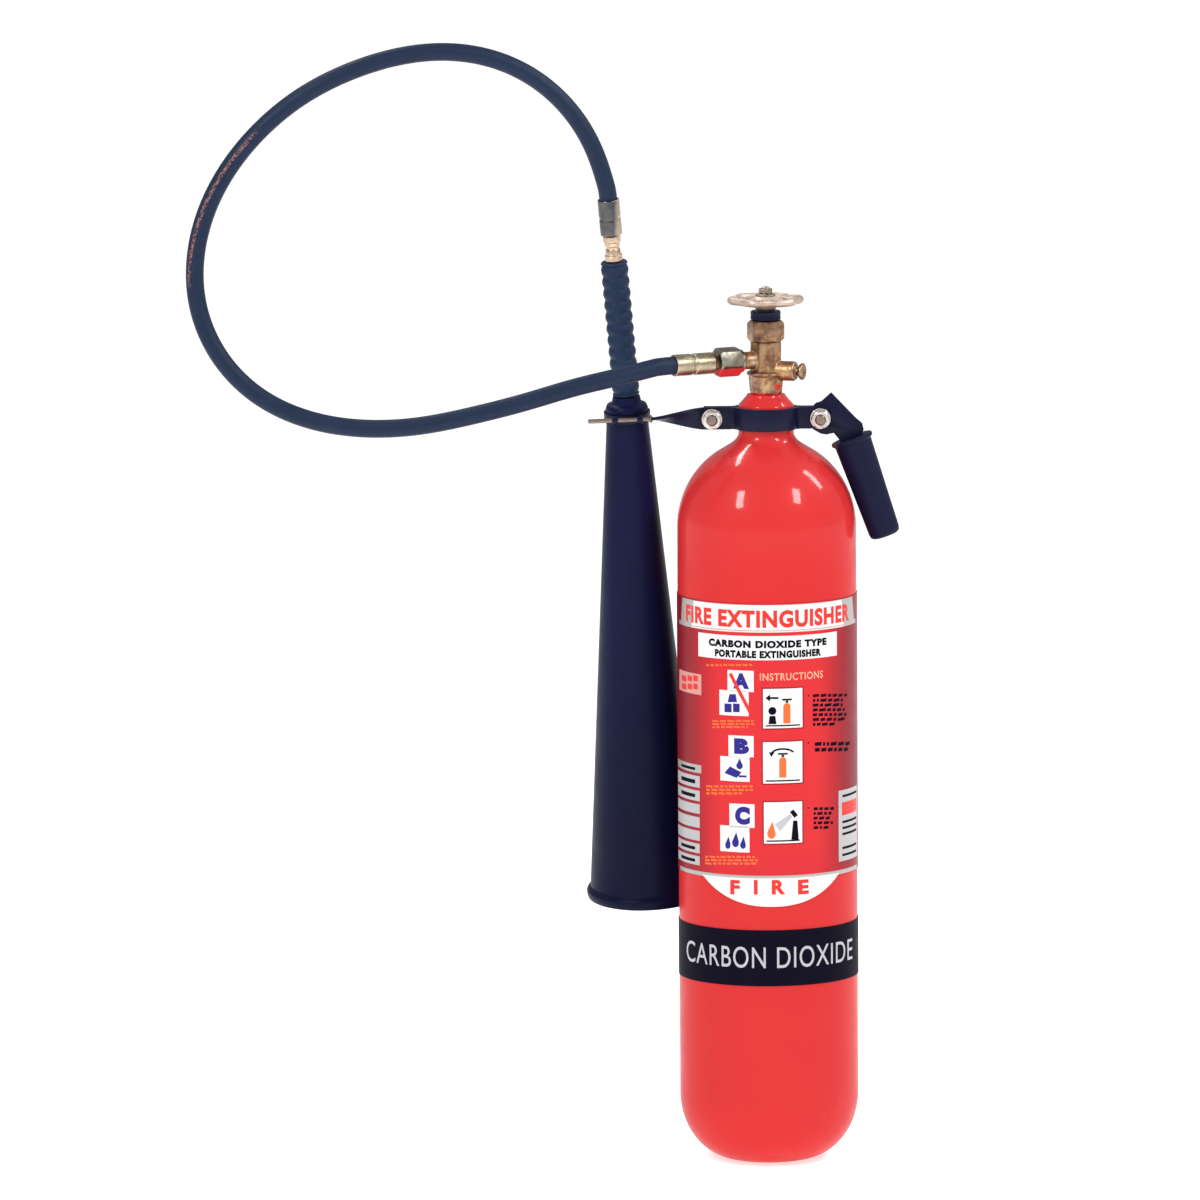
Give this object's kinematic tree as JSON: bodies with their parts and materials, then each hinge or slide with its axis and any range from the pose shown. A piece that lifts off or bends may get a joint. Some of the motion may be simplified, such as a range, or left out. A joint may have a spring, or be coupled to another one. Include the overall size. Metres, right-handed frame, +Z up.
{
  "type": "fire extinguisher",
  "caption": "Tall red gas cylinder with a brass wheel valve, looped black hose, long conical discharge horn on a side arm, neck clamp and hinged carry handle.",
  "frame": {"origin": "centre of the flat foot that the cylinder stands on", "axes": "+Z up along the cylinder, +X towards the carry handle, -X towards the horn, -Y the front with the label"},
  "size_m": [0.5535, 0.2037, 0.8813],
  "materials": {
    "red_enamel": "gloss",
    "label_print": "printed film, satin",
    "black_print": "printed film, satin",
    "brass": "forged and machined, dulled",
    "zinc": "yellow zinc plate",
    "cast_aluminium": "as cast",
    "steel": "satin",
    "black_enamel": "satin",
    "black_plastic": "moulded, satin",
    "rubber": "matt",
    "hose_rubber": "matt",
    "fibre": "matt"
  },
  "bodies": {
    "cylinder": {"cylinder_shell": "red_enamel", "dip_tube": "zinc", "instruction_label": "label_print", "agent_band": "black_print", "valve_body": "brass", "thrust_washer": "fibre", "gland_packing": "fibre", "bonnet_nut": "brass", "gland_nut": "black_enamel", "safety_washer": "fibre", "burst_disc": "steel", "safety_cap": "brass", "outlet_washer": "fibre", "swivel_nut": "zinc", "hose_tail_valve": "brass", "hose_ferrule_valve": "zinc", "hose": "hose_rubber", "horn_pin": "steel", "horn_arm": "black_enamel", "clamp_front": "black_enamel", "clamp_back": "black_enamel", "clamp_bolt_left": "steel", "clamp_bolt_right": "steel", "clamp_washer_left": "zinc", "clamp_washer_right": "zinc", "clamp_nut_left": "zinc", "clamp_nut_right": "zinc"},
    "handwheel": {"handwheel": "cast_aluminium", "spindle": "steel", "handwheel_washer": "steel", "handwheel_nut": "steel"},
    "valve_plug": {"valve_plug": "brass", "seat_pad": "fibre"},
    "horn": {"horn": "black_plastic", "horn_nozzle": "brass", "horn_socket": "black_plastic", "horn_neck_band": "steel", "grip_tube": "zinc", "horn_grip": "rubber", "hose_tail_horn": "brass", "hose_ferrule_horn": "zinc"},
    "carry_handle": {"handle_bar": "black_enamel", "handle_grip": "rubber"}
  },
  "joints": [
    {"name": "handwheel_turn", "type": "hinge", "parent": "cylinder", "child": "handwheel", "pos_m": [0, 0, 0.677], "axis": [0, 0, 1], "range_deg": [0, 540]},
    {"name": "valve_plug_lift", "type": "slide", "parent": "handwheel", "child": "valve_plug", "axis": [0, 0, 1], "range_m": [0, 0.0031]},
    {"name": "horn_off_pin", "type": "slide", "parent": "cylinder", "child": "horn", "axis": [-0.9994, 0, -0.0332], "range_m": [0, 0.05], "deforming": ["hose"]},
    {"name": "carry_handle_swing", "type": "hinge", "parent": "cylinder", "child": "carry_handle", "pos_m": [0.0422, 0, 0.5834], "axis": [0, -1, 0], "range_deg": [0, 75]}
  ],
  "couplings": [
    {"joint": "valve_plug_lift", "follows": "handwheel_turn", "m_per_rad": 0.00031831}
  ]
}
